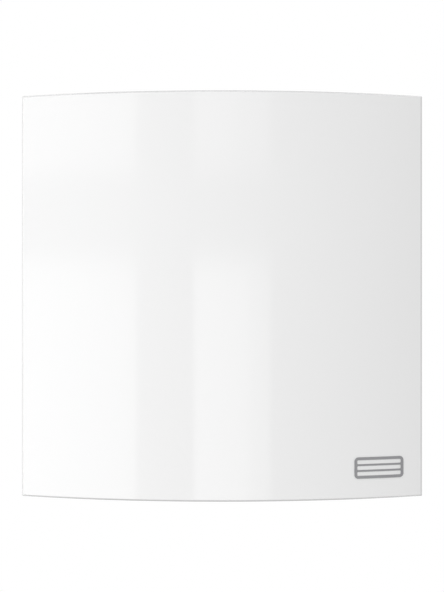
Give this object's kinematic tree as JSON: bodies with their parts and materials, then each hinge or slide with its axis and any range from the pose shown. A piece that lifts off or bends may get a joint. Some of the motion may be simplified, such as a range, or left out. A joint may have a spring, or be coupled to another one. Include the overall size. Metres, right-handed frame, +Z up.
{
  "type": "wall-mounted heat recovery ventilator",
  "caption": "Through-wall heat recovery ventilator with a bowed square panel, a shutter, a duct with a reversible fan and ceramic core, and an outdoor cowl.",
  "frame": {"origin": "centre of the duct's hole in the face of the indoor wall", "axes": "+Y along the duct from the room to outdoors, +Z up, +X to the right as seen from the room"},
  "size_m": [0.2, 0.4033, 0.2],
  "materials": {
    "gloss_white": "gloss",
    "satin_white": "satin",
    "grey_print": "matte",
    "grey_plastic": "satin",
    "black_plastic": "satin",
    "steel": "satin",
    "copper": "satin",
    "magnet": "matte",
    "rubber": "matte",
    "foam": "matte",
    "filter_fleece": "matte",
    "ceramic": "matte",
    "board_green": "satin",
    "smoked_lens": "gloss",
    "clear_lens": "gloss",
    "duct_white": "matte",
    "cowl_white": "satin"
  },
  "bodies": {
    "unit": {"casing": "satin_white", "wall_plate": "satin_white", "shutter_frame": "satin_white", "terminal_block": "satin_white", "panel_clip_1": "grey_plastic", "panel_clip_2": "grey_plastic", "panel_clip_3": "grey_plastic", "panel_clip_4": "grey_plastic", "cable_clamp": "grey_plastic", "indoor_filter_frame": "grey_plastic", "outdoor_filter_frame": "grey_plastic", "hood_grille": "grey_plastic", "shutter_actuator": "black_plastic", "rocker_block": "black_plastic", "fan_housing": "black_plastic", "motor_lead": "black_plastic", "wall_screw_1": "steel", "wall_screw_2": "steel", "wall_screw_3": "steel", "wall_screw_4": "steel", "hood_screw_1": "steel", "hood_screw_2": "steel", "hood_screw_3": "steel", "hood_screw_4": "steel", "casing_screw_left": "steel", "casing_screw_right": "steel", "cowl_screw_left": "steel", "cowl_screw_right": "steel", "motor_bearing_front": "steel", "motor_bearing_rear": "steel", "motor_stator": "copper", "fan_seal": "rubber", "regenerator_seal": "rubber", "wall_gasket": "foam", "hood_gasket": "foam", "insulation_sleeve": "foam", "indoor_filter_pad": "filter_fleece", "outdoor_filter_pad": "filter_fleece", "regenerator_core": "ceramic", "control_board": "board_green", "signal_receiver": "smoked_lens", "status_light": "clear_lens", "wall_duct": "duct_white", "hood_base": "cowl_white", "hood_cowl": "cowl_white"},
    "panel": {"front_panel": "gloss_white", "panel_badge": "grey_print"},
    "fan_rotor": {"impeller": "black_plastic", "rotor_cup": "steel", "magnet_ring": "magnet", "fan_shaft": "steel"},
    "blade_1": {"shutter_blade_1": "satin_white"},
    "blade_2": {"shutter_blade_2": "satin_white"},
    "blade_3": {"shutter_blade_3": "satin_white"},
    "blade_4": {"shutter_blade_4": "satin_white"},
    "blade_5": {"shutter_blade_5": "satin_white"},
    "link": {"shutter_link": "grey_plastic"},
    "speed_switch": {"speed_rocker": "grey_plastic"},
    "mode_switch": {"mode_rocker": "grey_plastic"},
    "button": {"pairing_button": "grey_plastic"}
  },
  "joints": [
    {"name": "panel_pull", "type": "slide", "parent": "unit", "child": "panel", "axis": [0, -1, 0], "range_m": [0, 0.06]},
    {"name": "shutter_open", "type": "hinge", "parent": "unit", "child": "blade_3", "pos_m": [0, -0.017, 0], "axis": [1, 0, 0], "range_deg": [0, 80]},
    {"name": "blade_1_open", "type": "hinge", "parent": "unit", "child": "blade_1", "pos_m": [0, -0.017, 0.044], "axis": [1, 0, 0], "range_deg": [0, 80]},
    {"name": "blade_2_open", "type": "hinge", "parent": "unit", "child": "blade_2", "pos_m": [0, -0.017, 0.022], "axis": [1, 0, 0], "range_deg": [0, 80]},
    {"name": "blade_4_open", "type": "hinge", "parent": "unit", "child": "blade_4", "pos_m": [0, -0.017, -0.022], "axis": [1, 0, 0], "range_deg": [0, 80]},
    {"name": "blade_5_open", "type": "hinge", "parent": "unit", "child": "blade_5", "pos_m": [0, -0.017, -0.044], "axis": [1, 0, 0], "range_deg": [0, 80]},
    {"name": "link_swing", "type": "hinge", "parent": "blade_3", "child": "link", "pos_m": [0, -0.01087, -0.00514], "axis": [1, 0, 0], "range_deg": [-80, 0]},
    {"name": "impeller_spin", "type": "hinge", "parent": "unit", "child": "fan_rotor", "pos_m": [0, 0.03, 0], "axis": [0, 1, 0], "continuous": true},
    {"name": "speed_rock", "type": "hinge", "parent": "unit", "child": "speed_switch", "pos_m": [0.082, -0.017, -0.049], "axis": [0, 1, 0], "range_deg": [-12, 12]},
    {"name": "mode_rock", "type": "hinge", "parent": "unit", "child": "mode_switch", "pos_m": [0.082, -0.017, -0.068], "axis": [0, 1, 0], "range_deg": [-12, 12]},
    {"name": "button_press", "type": "slide", "parent": "unit", "child": "button", "axis": [0, 0, 1], "range_m": [0, 0.0012], "stiffness_N_per_m": 300}
  ],
  "couplings": [
    {"joint": "blade_1_open", "follows": "shutter_open", "ratio": 1},
    {"joint": "blade_2_open", "follows": "shutter_open", "ratio": 1},
    {"joint": "blade_4_open", "follows": "shutter_open", "ratio": 1},
    {"joint": "blade_5_open", "follows": "shutter_open", "ratio": 1},
    {"joint": "link_swing", "follows": "shutter_open", "ratio": -1}
  ]
}
